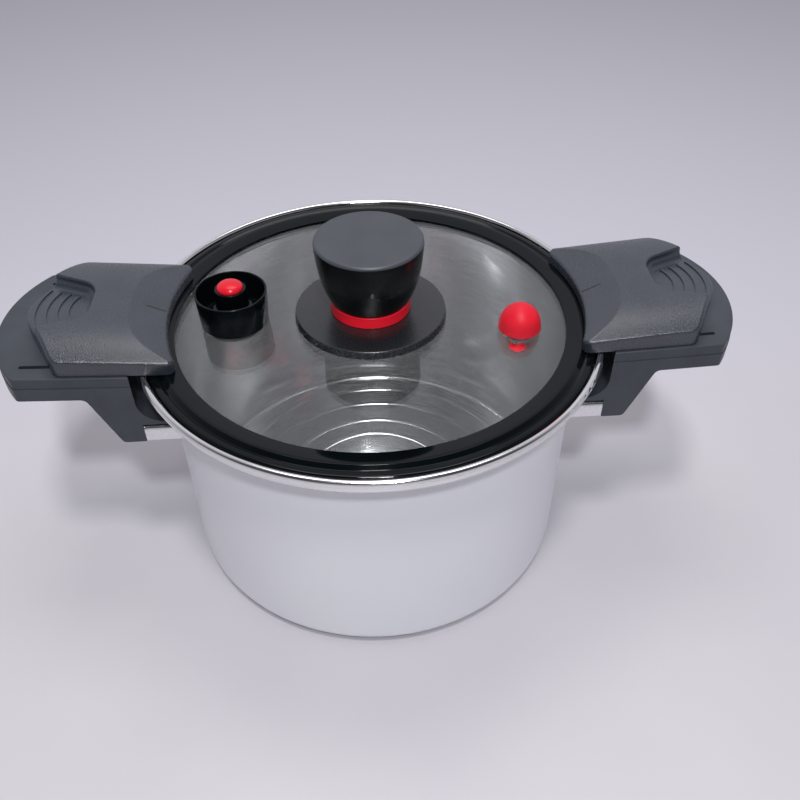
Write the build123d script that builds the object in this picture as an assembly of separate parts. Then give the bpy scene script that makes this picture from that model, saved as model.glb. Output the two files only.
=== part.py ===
"""Pressure canner: a low coated-steel pot with a glass lid, held down by two sliding locks.

The pot's axis is Z and its base stands on z = 0. The handles lie along X, and the working
side faces -Y. All lengths are in millimetres.
"""
from build123d import *
import math
import os

# ---------------------------------------------------------------- driving dimensions

# clearances
running_gap = 0.05          # radial play of a plunger or stem in its bore
moving_gap = 0.3            # between faces of two bodies that slide past each other
seat_gap = 0.3              # between the lid and the pot that it rests on
thread_gap = 0.05           # radial play of a screw, tube or bush in its thread
screw_room = 0.2            # radial room of a screw in a plain hole
glass_room = 0.5            # radial room of a fitting in its hole in the glass

# pot
pot_radius = 116.0          # outside of the straight wall
pot_wall = 1.4              # steel wall
base_corner_radius = 5.0    # rounding between wall and base
base_disc_inset = 24.0      # from the wall in to the bonded disc that spreads the heat
base_disc_height = 3.0
base_groove_count = 5       # rings turned into the base disc
base_groove_depth = 0.6
base_groove_width = 1.6
bend_radius = 1.6           # inside radius where the sheet is bent
shelf_height = 143.0        # top of the step that the lid seal rests on
shelf_shoulder = 3.5        # width and height of the flare from the wall to the step
shelf_width = 12.2          # from the wall out to the neck
rim_overhang = 1.8          # how far the rolled edge stands out from the neck
rim_bead_radius = 2.0       # rolled edge, as the radius of its tube
rim_rise = 8.0              # from the step to the top of the rolled edge

# lid glass, its ring and the seal
glass_thickness = 4.0
glass_rise = 2.0            # how much higher the middle is than the edge
glass_lift = 3.4            # from the ring's flange to the glass's top at its edge
ring_rim_gap = 0.7          # radial room between the lid ring and the rolled edge
ring_bead_drop = 1.2        # how far the ring's outer edge stays below the rim
ring_bead_width = 3.6
ring_valley_width = 1.6
ring_valley_depth = 0.9     # between that edge and the ridge
ring_ridge_offset = 1.0     # ridge's middle, outside the ring's root
ring_ridge_width = 2.0
ring_ridge_rise = 2.4       # above the glass's edge
ring_lip_rise = 1.1
ring_lip_width = 4.1        # how far the lip covers the glass
ring_root_wall = 3.1        # from the glass's edge out to the root that hangs below the flange
ring_root_depth = 2.0       # how far the ring reaches below the glass
ring_grip_width = 2.0       # how far the ring reaches in under the glass's edge
seal_thickness = 1.5
seal_width = 7.8
seal_inset = 0.5            # inside the ring's outer edge
seal_root_gap = 1.4         # between the seal and the ring's root
seal_lip_width = 1.8        # soft lip at the seal's inner edge
seal_lip_height = 0.7
seal_taper = 0.4

# knob
knob_base_radius = 42.3
knob_base_rise = 5.0        # from the glass to the foot of the red band
knob_base_edge = 2.6        # thickness of its rim
knob_base_bevel = 1.2
knob_base_ledge = 0.5       # flat that shows round the foot of the red band
knob_gasket_height = 0.25
knob_gasket_inset = 2.0     # how far the gasket stays inside the base's edge
band_radius = 22.2
band_height = 6.8
grip_foot_radius = 21.7
grip_top_radius = 29.3
grip_height = 33.0          # from the band to the cap's parting line
grip_bulge = 0.9            # how far its side stands out from a straight cone
grip_wall = 2.6
cap_height = 3.4
cap_edge_radius = 2.8
cap_plug_depth = 2.0        # step under the cap that centres it in the grip
cap_plug_room = 1.2
parting = 0.35              # fine step along the cap's parting line
spigot_step = 6.0           # from the band's outside in to the core it sits on
knob_screw_radius = 3.0
knob_screw_head_radius = 5.6
knob_screw_head_height = 3.6
knob_boss_radius = 6.5
insert_wall = 1.4
insert_length = 12.0
insert_end_room = 1.0       # between the screw's tip and the insert's end
knob_washer_radius = 9.0
washer_thickness = 1.2

# steam release valve
valve_distance = 75.5       # from the pot's axis, towards -X
cup_top_radius = 19.6
cup_foot_radius = 17.2
cup_height = 19.0
cup_wall = 1.4
cup_floor = 3.0
tower_radius = 8.4
tower_rise = 1.6            # above the cup's rim
tower_step_radius = 11.6
tower_step_height = 5.0
button_radius = 7.0
button_height = 3.2         # domed part above the tower
button_skirt = 4.4          # guided part inside the tower
button_stand = 0.5          # straight part of the button that shows
button_fullness = 0.9       # how full its dome is
button_travel = 2.5
valve_tube_radius = 6.5
valve_tube_stand = 1.5      # how far the tube stands over its flange
valve_tube_tail = 1.0       # how far it reaches below its nut
valve_flange_width = 3.8
valve_flange_thickness = 1.5
valve_bore_radius = 3.4
valve_nut_width = 4.7
valve_nut_height = 3.4
valve_gasket_above = 1.1    # soft washers on and under the glass
valve_gasket_below = 0.9
valve_gasket_inset = 1.5
stem_radius = 1.5
stem_tail = 1.0
poppet_inset = 0.6          # from the tube's outside in to the disc that closes it
poppet_thickness = 1.6
vent_seal_thickness = 1.2
vent_seal_inset = 0.2
spring_wire_radius = 0.45
spring_inset = 1.9          # from the tube's outside in to the spring's wire
spring_turns = 5
spring_end_gap = 0.1
spring_room = 0.5           # radial room round the spring

# safety plug
plug_distance = 82.8
plug_angle = -13.2          # degrees round the lid from +X
plug_radius = 11.8
plug_height = 14.6
plug_stem_radius = 3.2
plug_stem_length = 19.0
plug_barb_width = 1.6       # how far the barb under the lid stands out from the stem
plug_barb_lead = 2.2        # length of the barb's cone
plug_barb_point = 0.8
plug_edge = 0.6             # small bevel at the skirt's foot
plug_side_height = 5.0      # where the skirt's leaning side runs into the dome
plug_side_lean = 0.7
plug_glass_gap = 0.75       # under the skirt
plug_fullness = 1.0         # how full its dome is
plug_travel = 5.0
bush_wall = 1.9
bush_tail = 0.8             # how far it reaches below its nut
bush_flange_width = 3.0
bush_flange_thickness = 1.0
bush_flange_room = 0.8      # radial room between the flange and the plug's skirt
bush_nut_width = 3.4
bush_nut_height = 2.4
bush_gasket_above = 0.8
bush_gasket_below = 0.7

# handles
handle_length = 86.0        # from the pot's wall to the end
handle_half_width = 48.5
handle_end_radius = 76.0    # plan radius of its rounded end
handle_corner_radius = 3.0  # plan rounding where the sides meet the end
handle_thickness = 14.0     # deck and body together, at the flat part
handle_wall = 3.0
deck_rise = 2.4             # degrees that the deck climbs outwards
deck_over_rim = 0.4         # deck's top over the rim, where the lug starts
deck_thickness = 6.2
deck_inset = 0.4            # ledge that the deck leaves all round on the body
deck_edge_radius = 0.8
mouth_room = 5.0            # between the rim and the handle
mouth_bend = 13.0           # rounding of the room for the rim
toe_thickness = 2.0         # plastic over the bracket's pocket
lug_height = 44.2           # from the rim's top down to the lug's foot
lug_gap = 9.3               # between the pot's wall and the lug
lug_thickness = 12.3
lug_slope = 13.0            # how far the sloping underside runs out

# bracket between pot and handle
bracket_tongue = 7.7        # how far it reaches into the lug
bracket_tongue_inset = 4.0  # the tongue is this much narrower on each side
bracket_side_inset = 0.3    # from the handle's side in to the bracket's
bracket_sheet = 1.5
bracket_height = 9.6
bracket_bend = 3.0          # outside radius of its bent edges
bracket_inset = 0.4         # above the lug's lower edge
bracket_over_gap = 2.1      # open gap between the bracket's top and the handle

# sliding locks
nose_cover = 14.3           # how far the nose reaches in over the lid ring
lock_half_width = 46.5
lock_travel = 17.0          # full stroke of a lock
lock_end_gap = 0.2          # a fully open lock stays this far inside the handle's end
lock_end_angle = 28.7       # degrees that each half of its outer end is swept back
lock_tip_radius = 25.0      # rounding in the middle of that end
lock_corner_radius = 6.0    # plan rounding where its sides meet its end
nose_corner_radius = 4.0    # and where they meet its nose
lock_edge_radius = 2.0      # rounding of its upper edges
lock_edge_height = 7.2      # side wall above the deck at the nose
lock_shoulder_height = 10.8 # where the rounded shoulder runs into the crown
lock_shoulder_width = 9.0
lock_crown = 13.5           # middle above the deck at the nose
lock_top_rise = 2.5         # degrees that the top climbs outwards from the deck
lock_wall = 2.6
lock_ceiling = 5.2          # roof of the hollow under the cap
right_lock_open = 7.0       # how far the right lock already stands open
facet_reach = 18.7          # length of the slope at the nose
facet_drop = 8.0
index_length = 11.0         # line engraved down the slope
index_start = 1.0           # from the nose
index_width = 0.6
index_depth = 0.4
scoop_length = 34.5         # thumb scoop, from the lock's outer end inwards
scoop_throat = 14.6         # half width at its inner end
scoop_flare = 0.38          # how fast each side widens outwards
scoop_end_radius = 11.0
scoop_floor = 8.8           # its floor above the deck
scoop_bowl = 4.6            # rounding between its floor and its sides
scoop_rim_radius = 1.0
scoop_end_length = 7.0      # outermost part of its floor, whose edges are rounded too
rib_count = 4
rib_pitch = 5.8
rib_height = 0.7
rib_width = 1.4
rib_bow_radius = 40.0       # plan radius of the outermost rib
rib_start = 3.2             # from the lock's end to the first rib
rib_inset = 6.0             # from the scoop's sides to the ribs' ends
slot_offset = 38.0          # guide slots, either side of the handle's middle
slot_width = 2.4
slot_end_inset = 19.5       # from the handle's end to a slot's outer end
slot_bridge = 0.2           # deck left between the mouth and a slot
keeper_end_room = 2.0       # the keepers end this far before they could touch the slot's end
keeper_foot = 5.0           # width of its foot under the deck
keeper_flange = 9.0         # width of its flange on the tongue
sheet = 1.5                 # steel of the tongue and the keepers
tongue_inset = 36.5         # from the lock's outer end to the steel tongue's
tongue_side_inset = 3.5
tongue_gap = 0.2            # between the tongue and the nose's wall
tongue_slot_width = 2.4     # for the keeper's leg to pass through the tongue

# fasteners
screw_radius = 1.5
screw_head_radius = 2.8
screw_head_height = 1.6
screw_tip_room = 1.6        # between a deck screw's tip and the deck's top
screw_recess_floor = 1.0    # plastic under a deck screw's head
deck_boss_radius = 4.2
deck_screw_places = [(44.0, 0.0), (14.0, 20.0), (14.0, -20.0)]      # inside the handle's end
post_radius = 3.4           # posts under the cap that its screws go into
post_root = 0.5             # how far a post runs up into the roof
cap_screw_head_radius = 2.6
cap_screw_head_height = 0.9
cap_screw_inset = 0.8
cap_screw_bite = 1.0        # how far its tip runs up past the roof's underside
cap_screw_places = [(16.0, 16.0), (16.0, -16.0), (31.5, 12.0), (31.5, -12.0)]   # outside the nose
keeper_screw_radius = 1.0
keeper_screw_head_radius = 1.9
keeper_head_height = 0.9
keeper_screw_line = 3.6     # from the flange's inner edge to its screws
keeper_screw_insets = [3.8, 10.8]                                   # inside the tongue's end
handle_screw_offset = 26.0  # either side of the handle's middle
handle_screw_inset = 1.2    # outside the lug's inner face
handle_screw_radius = 2.5
handle_screw_head_radius = 4.6
handle_screw_head_height = 2.6
handle_screw_bite = 4.6     # how far it reaches up into the lug

# ---------------------------------------------------------------- derived places

neck_radius = pot_radius + shelf_width
rim_radius = neck_radius + rim_overhang
rim_height = shelf_height + rim_rise
rim_bead_centre = rim_radius - rim_bead_radius
rim_bead_height = rim_height - rim_bead_radius

ring_radius = rim_bead_centre - rim_bead_radius - ring_rim_gap
seal_outer_radius = ring_radius - seal_inset
seal_inner_radius = seal_outer_radius - seal_width
ring_root_radius = seal_inner_radius - seal_root_gap
ring_ridge_radius = ring_root_radius + ring_ridge_offset
glass_radius = ring_root_radius - ring_root_wall
ring_lip_radius = glass_radius - ring_lip_width
seal_foot = shelf_height + seat_gap
ring_flange_height = seal_foot + seal_thickness
glass_edge_height = ring_flange_height + glass_lift
glass_middle_height = glass_edge_height + glass_rise
glass_sphere_radius = (glass_radius**2 + glass_rise**2) / (2 * glass_rise)

plug_place = Location(
    (
        plug_distance * math.cos(math.radians(plug_angle)),
        plug_distance * math.sin(math.radians(plug_angle)),
        0,
    )
)
valve_place = Location((-valve_distance, 0, 0))
bush_radius = plug_stem_radius + bush_wall
lug_inner = pot_radius + lug_gap
lug_outer = lug_inner + lug_thickness
lug_bottom_height = rim_height - lug_height
handle_reach = pot_radius + handle_length
handle_mouth_radius = rim_radius + mouth_room
deck_foot_height = rim_height + deck_over_rim
deck_slope = math.tan(math.radians(deck_rise))
pot_base = 0.0
far = 260.0                 # cuts that run right through or across end this far out


def glass_top(distance):
    """Height of the glass's top face at a distance from the pot's axis."""
    drop = glass_sphere_radius - math.sqrt(glass_sphere_radius**2 - distance**2)
    return glass_middle_height - drop


def turned(outline, corners=None):
    """A solid turned about Z from closed (radius, height) points, with a radius for each corner."""
    if corners:
        edge = FilletPolyline(*outline, radius=corners, close=True)
    else:
        edge = Polyline(*outline, close=True)
    return revolve(Plane.XZ * make_face(edge), Axis.Z)


def domed(outline, fullness):
    """Like turned, for an open outline from the top of a dome down and out to its edge."""
    side, top = outline[-1], outline[0]
    side_slope = (Vector(*side) - Vector(*outline[-2])).normalized()
    dome = Spline(
        side, top, tangents=(side_slope, (-1, 0)), tangent_scalars=(fullness, fullness)
    )
    return revolve(Plane.XZ * make_face([Polyline(*outline), dome]), Axis.Z)


def disc(radius, low, high, hole=0.0):
    """A disc or, with a hole, a washer, between two heights on the Z axis."""
    solid = Pos(0, 0, (low + high) / 2) * Cylinder(radius, high - low)
    if hole:
        solid -= Pos(0, 0, (low + high) / 2) * Cylinder(hole, high - low + 2)
    return solid


def block(low, high):
    """A box between two opposite corners."""
    size = [b - a for a, b in zip(low, high)]
    return Pos(*[(a + b) / 2 for a, b in zip(low, high)]) * Box(*size)


os.makedirs("parts", exist_ok=True)


def save(shape, name):
    """Write one node as its own STEP file."""
    solids = shape.solids()
    whole = solids[0] if len(solids) == 1 else Compound(children=solids)
    whole.label = name
    export_step(whole, f"parts/{name}.step")


def both_sides(right, name):
    """Save a right-hand piece and its mirror image on the left."""
    save(right, f"{name}_right")
    save(mirror(right, Plane.YZ), f"{name}_left")


# ---------------------------------------------------------------- pot

shelf_under = shelf_height - pot_wall
inside_radius = pot_radius - pot_wall

wall_outline = [
    (0, base_disc_height),
    (pot_radius, base_disc_height),
    (pot_radius, shelf_under - shelf_shoulder),
    (pot_radius + shelf_shoulder, shelf_under),
    (neck_radius, shelf_under),
    (neck_radius, rim_bead_height),
    (neck_radius - pot_wall, rim_bead_height),
    (neck_radius - pot_wall, shelf_height),
    (pot_radius + shelf_shoulder - pot_wall / 2, shelf_height),
    (inside_radius, shelf_under - shelf_shoulder + pot_wall / 2),
    (inside_radius, base_disc_height + pot_wall),
    (0, base_disc_height + pot_wall),
]
wall_corners = [
    0,
    base_corner_radius,
    bend_radius,
    bend_radius,
    bend_radius + pot_wall,
    0,
    0,
    bend_radius,
    bend_radius + pot_wall,
    bend_radius + pot_wall,
    base_corner_radius - pot_wall,
    0,
]
rim_bead = Pos(0, 0, rim_bead_height) * Torus(rim_bead_centre, rim_bead_radius)
pot_body = turned(wall_outline, wall_corners) + rim_bead
save(pot_body, "pot_body")

base_disc_radius = pot_radius - base_disc_inset
base_disc = disc(base_disc_radius, 0, base_disc_height)
base_disc = chamfer(base_disc.edges().group_by(Axis.Z)[0], base_disc_height / 4)
for ring_number in range(base_groove_count):
    groove_radius = base_disc_radius * (ring_number + 2) / (base_groove_count + 2.5)
    groove_half = base_groove_width / 2
    base_disc -= disc(groove_radius + groove_half, -1, base_groove_depth, groove_radius - groove_half)
save(base_disc, "base_disc")

# ---------------------------------------------------------------- lid glass, ring and seal

glass_middle = (0, glass_middle_height)
glass_edge = (glass_radius, glass_edge_height)
glass_arc = RadiusArc(glass_middle, glass_edge, glass_sphere_radius)
glass_under = Pos(0, -glass_thickness) * glass_arc
glass_section = make_face(
    [
        glass_arc,
        Line(glass_edge, (glass_radius, glass_edge_height - glass_thickness)),
        glass_under,
        Line((0, glass_middle_height - glass_thickness), glass_middle),
    ]
)
glass_blank = revolve(Plane.XZ * glass_section, Axis.Z)
knob_hole_radius = knob_screw_radius + glass_room
knob_hole = disc(knob_hole_radius, pot_base, far)
valve_hole = valve_place * disc(valve_tube_radius + glass_room, pot_base, far)
plug_hole = plug_place * disc(bush_radius + glass_room, pot_base, far)
lid_glass = glass_blank - knob_hole - valve_hole - plug_hole
save(lid_glass, "lid_glass")

glass_under_edge = glass_edge_height - glass_thickness
ring_bead_height = rim_height - ring_bead_drop
ring_ridge_height = glass_edge_height + ring_ridge_rise
ring_lip_height = glass_edge_height + ring_lip_rise
ridge_half = ring_ridge_width / 2
ring_outline = [
    (ring_radius, ring_flange_height),
    (ring_radius, ring_bead_height),
    (ring_radius - ring_bead_width, ring_bead_height),
    (ring_radius - ring_bead_width - ring_valley_width, ring_bead_height - ring_valley_depth),
    (ring_ridge_radius + ridge_half, ring_ridge_height),
    (ring_ridge_radius - ridge_half, ring_ridge_height),
    (ring_lip_radius, ring_lip_height),
    (ring_lip_radius, glass_edge_height - glass_thickness / 2),
    (ring_lip_radius + ring_grip_width, glass_edge_height - glass_thickness / 2),
    (ring_lip_radius + ring_grip_width, glass_under_edge - ring_root_depth),
    (ring_root_radius, glass_under_edge - ring_root_depth),
    (ring_root_radius, ring_flange_height),
]
ring_corners = [0, 1.4, 1.0, 1.0, 0.8, 0.8, 0.5, 0, 0, 0.5, 0.8, 0]
lid_ring = turned(ring_outline, ring_corners) - glass_blank
save(lid_ring, "lid_ring")

seal_outline = [
    (seal_inner_radius, ring_flange_height),
    (seal_inner_radius, seal_foot + seal_lip_height),
    (seal_inner_radius + seal_lip_width, seal_foot),
    (seal_outer_radius - seal_taper, seal_foot),
    (seal_outer_radius, ring_flange_height),
]
save(turned(seal_outline), "lid_seal")

# ---------------------------------------------------------------- knob

knob_foot = glass_middle_height + knob_gasket_height
band_foot = knob_foot + knob_base_rise
grip_foot = band_foot + band_height
cap_foot = grip_foot + grip_height
spigot_radius = band_radius - spigot_step
screw_hole_radius = knob_screw_radius + screw_room

gasket_radius = knob_base_radius - knob_gasket_inset
knob_gasket = disc(gasket_radius, glass_edge_height, knob_foot, knob_hole_radius)
save(knob_gasket - glass_blank, "knob_gasket")

base_outline = [
    (screw_hole_radius, knob_foot),
    (knob_base_radius, knob_foot),
    (knob_base_radius, knob_foot + knob_base_edge - knob_base_bevel),
    (knob_base_radius - knob_base_bevel, knob_foot + knob_base_edge),
    (band_radius + knob_base_ledge, band_foot),
    (spigot_radius, band_foot),
    (spigot_radius, grip_foot),
    (screw_hole_radius, grip_foot),
]
base_corners = [0, 0.5, 0.9, 0.9, 4.0, 0, 0.4, 0]
save(turned(base_outline, base_corners), "knob_base")

band_outline = [
    (spigot_radius, band_foot),
    (band_radius, band_foot),
    (band_radius, grip_foot),
    (spigot_radius, grip_foot),
]
save(turned(band_outline, [0, 0.5, 0.5, 0]), "knob_band")

grip_side = ThreePointArc(
    (grip_foot_radius, grip_foot),
    ((grip_foot_radius + grip_top_radius) / 2 + grip_bulge, grip_foot + grip_height / 2),
    (grip_top_radius, cap_foot),
)
insert_radius = knob_screw_radius + insert_wall
insert_foot = grip_foot + grip_wall
insert_top = insert_foot + insert_length
grip_solid = revolve(
    Plane.XZ
    * make_face(
        [
            grip_side,
            Polyline(
                (grip_top_radius, cap_foot), (0, cap_foot), (0, grip_foot), (grip_foot_radius, grip_foot)
            ),
        ]
    ),
    Axis.Z,
)
grip_hollow = turned(
    [
        (0, insert_foot),
        (grip_foot_radius - grip_wall, insert_foot),
        (grip_top_radius - grip_wall, cap_foot + 1),
        (0, cap_foot + 1),
    ]
)
grip_boss = disc(knob_boss_radius, insert_foot, insert_top)
knob_grip = grip_solid - (grip_hollow - grip_boss) - disc(insert_radius, insert_foot, far)
knob_grip -= disc(screw_hole_radius, pot_base, insert_foot + 1)
save(knob_grip, "knob_grip")

cap_plug = grip_top_radius - grip_wall - cap_plug_room
cap_outline = [
    (0, cap_foot - cap_plug_depth),
    (cap_plug, cap_foot - cap_plug_depth),
    (cap_plug, cap_foot),
    (grip_top_radius - parting, cap_foot),
    (grip_top_radius - parting, cap_foot + parting),
    (grip_top_radius, cap_foot + parting),
    (grip_top_radius, cap_foot + cap_height),
    (0, cap_foot + cap_height),
]
cap_corners = [0, 0, 0, 0, 0, 0, cap_edge_radius, 0]
save(turned(cap_outline, cap_corners), "knob_cap")

glass_under_middle = glass_middle_height - glass_thickness
washer_top = glass_under_middle - washer_thickness
washer_under = washer_top - washer_thickness
knob_seal_washer = disc(knob_washer_radius, washer_top, glass_edge_height, knob_hole_radius)
save(knob_seal_washer - glass_blank, "knob_seal_washer")
save(disc(knob_washer_radius, washer_under, washer_top, screw_hole_radius), "knob_washer")

screw_head = extrude(RegularPolygon(knob_screw_head_radius, 6), knob_screw_head_height)
knob_screw = Pos(0, 0, washer_under - knob_screw_head_height) * screw_head
knob_screw += disc(knob_screw_radius, washer_under - 0.5, insert_top - insert_end_room)
save(knob_screw, "knob_screw")
knob_insert = disc(insert_radius, insert_foot, insert_top, knob_screw_radius + thread_gap)
save(knob_insert, "knob_insert")

# ---------------------------------------------------------------- steam release valve

valve_glass = glass_top(valve_distance)
cup_foot = valve_glass + valve_gasket_above
floor_top = cup_foot + cup_floor
tower_foot = floor_top + valve_flange_thickness
cup_top = cup_foot + cup_height
tower_top = cup_top + tower_rise
tube_top = tower_foot + valve_tube_stand
tube_clear = valve_tube_radius + thread_gap
nut_top = valve_glass - glass_thickness - valve_gasket_below
nut_foot = nut_top - valve_nut_height
tube_foot = nut_foot - valve_tube_tail


def glass_gaskets(radius, hole, top, foot):
    """The pair of soft washers that fit the curved glass, above and below it."""
    split = glass_edge_height - glass_thickness / 2
    return disc(radius, split, top, hole) + disc(radius, foot, split, hole)


valve_gaskets = glass_gaskets(cup_foot_radius - valve_gasket_inset, tube_clear, cup_foot, nut_top)
save(valve_place * valve_gaskets - glass_blank, "valve_gaskets")

cup_outline = [
    (tube_clear, cup_foot),
    (cup_foot_radius, cup_foot),
    (cup_top_radius, cup_top),
    (cup_top_radius - cup_wall, cup_top),
    (cup_foot_radius - cup_wall, floor_top),
    (tube_clear, floor_top),
]
cup_corners = [0, 0.8, 0.5, 0.5, 1.2, 0]
save(valve_place * turned(cup_outline, cup_corners), "valve_cup")

valve_tube = disc(valve_tube_radius, tube_foot, tube_top, valve_bore_radius)
valve_tube += disc(valve_tube_radius + valve_flange_width, floor_top, tower_foot, valve_bore_radius)
save(valve_place * valve_tube, "valve_tube")

nut_plan = RegularPolygon(valve_tube_radius + valve_nut_width, 6)
valve_nut = Pos(0, 0, nut_foot) * extrude(nut_plan, valve_nut_height)
save(valve_place * (valve_nut - disc(tube_clear, pot_base, far)), "valve_nut")

skirt_foot = tower_top - button_skirt
button_stop = skirt_foot - button_travel - moving_gap
spring_radius = valve_tube_radius - spring_inset
chamber_radius = spring_radius + spring_wire_radius + spring_room
button_bore = button_radius + 2 * running_gap
tower_outline = [
    (tube_clear, tower_foot),
    (tower_step_radius, tower_foot),
    (tower_step_radius, tower_foot + tower_step_height),
    (tower_radius, tower_foot + tower_step_height),
    (tower_radius, tower_top),
    (button_bore, tower_top),
    (button_bore, button_stop),
    (chamber_radius, button_stop),
    (chamber_radius, tube_top),
    (tube_clear, tube_top),
]
tower_corners = [0, 0, 1.2, 0.8, 0.3, 0, 0, 0, 0, 0]
save(valve_place * turned(tower_outline, tower_corners), "valve_tower")

button_edge = tower_top + button_stand
button_outline = [
    (0, button_edge + button_height),
    (0, skirt_foot),
    (button_radius, skirt_foot),
    (button_radius, button_edge),
]
save(valve_place * domed(button_outline, button_fullness), "vent_button")

vent_seal_top = tube_foot - moving_gap
poppet_top = vent_seal_top - vent_seal_thickness
poppet_radius = valve_tube_radius - poppet_inset
vent_stem = disc(stem_radius, poppet_top - stem_tail, skirt_foot)
vent_stem += disc(poppet_radius, poppet_top - poppet_thickness, poppet_top)
save(valve_place * vent_stem, "vent_stem")
vent_seal = disc(poppet_radius - vent_seal_inset, poppet_top, vent_seal_top, stem_radius)
save(valve_place * vent_seal, "vent_seal")

spring_length = skirt_foot - spring_end_gap - tube_top
spring_rise = spring_length - 2 * spring_wire_radius
spring_path = Helix(spring_rise / spring_turns, spring_rise, spring_radius)
spring_section = Plane(origin=spring_path @ 0, z_dir=spring_path % 0) * Circle(spring_wire_radius)
vent_spring = Pos(0, 0, tube_top + spring_wire_radius) * sweep(spring_section, path=spring_path)
save(valve_place * vent_spring, "vent_spring")

# ---------------------------------------------------------------- safety plug

plug_glass = glass_top(plug_distance)
bush_flange_foot = plug_glass + bush_gasket_above
bush_flange_top = bush_flange_foot + bush_flange_thickness
bush_flange_radius = bush_radius + bush_flange_width
bush_nut_top = plug_glass - glass_thickness - bush_gasket_below
bush_nut_foot = bush_nut_top - bush_nut_height
bush_foot = bush_nut_foot - bush_tail
bush_clear = bush_radius + thread_gap
plug_bore = plug_stem_radius + 2 * running_gap

plug_bush = disc(bush_radius, bush_foot, bush_flange_top, plug_bore)
plug_bush += disc(bush_flange_radius, bush_flange_foot, bush_flange_top, plug_bore)
save(plug_place * plug_bush, "plug_bush")

plug_gaskets = glass_gaskets(bush_flange_radius, bush_clear, bush_flange_foot, bush_nut_top)
save(plug_place * plug_gaskets - glass_blank, "plug_gaskets")

plug_nut = Pos(0, 0, bush_nut_foot) * extrude(
    RegularPolygon(bush_radius + bush_nut_width, 6), bush_nut_height
)
save(plug_place * (plug_nut - disc(bush_clear, pot_base, far)), "plug_nut")

skirt_height = plug_glass + plug_glass_gap
plug_ceiling = bush_flange_top + moving_gap
plug_top = skirt_height + plug_height
barb_top = bush_foot - plug_travel - moving_gap
barb_foot = plug_ceiling - plug_stem_length
barb_radius = plug_stem_radius + plug_barb_width
skirt_inside = bush_flange_radius + bush_flange_room
plug_outline = [
    (0, plug_top),
    (0, barb_foot),
    (plug_stem_radius - plug_barb_point, barb_foot),
    (barb_radius, barb_foot + plug_barb_lead),
    (barb_radius, barb_top - plug_edge),
    (plug_stem_radius, barb_top),
    (plug_stem_radius, plug_ceiling),
    (skirt_inside, plug_ceiling),
    (skirt_inside, skirt_height),
    (plug_radius - plug_edge, skirt_height),
    (plug_radius, skirt_height + plug_edge),
    (plug_radius - plug_side_lean, skirt_height + plug_side_height),
]
save(plug_place * domed(plug_outline, plug_fullness), "safety_plug")

# ---------------------------------------------------------------- handles (drawn on the right)

# The deck frame has the deck's top face at height 0 and its reach measured from the pot's
# axis, and it climbs outwards about the deck's foot.
deck_place = (
    Location((lug_inner, 0, deck_foot_height))
    * Location((0, 0, 0), (0, -deck_rise, 0))
    * Location((-lug_inner, 0, 0))
)
beyond = handle_reach + 20  # cuts and blanks end here, outside the handle


def rounded_plan(half_width, reach, end_radius, inner, low, high):
    """An upright solid with parallel sides and a round outer end."""
    end_centre = reach - end_radius
    shoulder = end_centre + math.sqrt(end_radius**2 - half_width**2)
    front, back = (shoulder, -half_width), (shoulder, half_width)
    outline = [
        Polyline(front, (inner, -half_width), (inner, half_width), back),
        ThreePointArc(back, (reach, 0), front),
    ]
    return Pos(0, 0, low) * extrude(make_face(outline), high - low)


def deck_height(reach):
    """Height of the deck's top at a distance from the pot's axis."""
    return deck_foot_height + (reach - lug_inner) * deck_slope


def handle_side(outline, corners, half_width):
    """A solid drawn as a side view of (reach, height) points and extruded across the handle."""
    face = Plane.XZ * make_face(FilletPolyline(*outline, radius=corners, close=True))
    return extrude(face, half_width, both=True)


bracket_foot = lug_bottom_height + bracket_inset
bracket_top = bracket_foot + bracket_height
toe_under = bracket_top + bracket_over_gap


def mouth():
    """The room for the rim and the lid in the inner end of a handle, about the pot's axis."""
    toe_top = toe_under + toe_thickness
    outline = [
        (0, toe_top),
        (handle_mouth_radius, toe_top),
        (handle_mouth_radius, far),
        (0, far),
    ]
    return turned(outline, [0, mouth_bend, 0, 0])


under_inner = deck_height(lug_outer + lug_slope) - handle_thickness
under_outer = deck_height(beyond) - handle_thickness
lug_root = pot_radius / 2   # drawn from inside the pot, then cut to its wall
body_outline = [
    (lug_root, toe_under),
    (lug_inner, toe_under),
    (lug_inner, lug_bottom_height),
    (lug_outer, lug_bottom_height),
    (lug_outer + lug_slope, under_inner),
    (beyond, under_outer),
    (beyond, deck_height(beyond)),
    (lug_root, deck_height(lug_root)),
]
body_corners = [0, 0, 0.6, 3.0, 4.0, 0, 0, 0]
body_blank = handle_side(body_outline, body_corners, handle_half_width)


def handle_plan(inset):
    """An upright solid with the handle's plan, smaller all round by an inset."""
    plan = rounded_plan(
        handle_half_width - inset,
        handle_reach - inset,
        handle_end_radius - inset,
        lug_root,
        pot_base,
        far,
    )
    end_corners = plan.edges().filter_by(Axis.Z).group_by(Axis.X)[-1]
    return fillet(end_corners, handle_corner_radius)


body_blank = body_blank & handle_plan(0)
body_blank -= deck_place * block((0, -far, -deck_thickness), (beyond, far, far))
body_blank -= mouth()
body_blank -= disc(pot_radius, pot_base, far)

tongue_reach = lug_inner + bracket_tongue
pocket_half = handle_half_width - bracket_side_inset - bracket_tongue_inset
lug_pocket = block((0, -pocket_half, pot_base), (tongue_reach, pocket_half, bracket_top))

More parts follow.
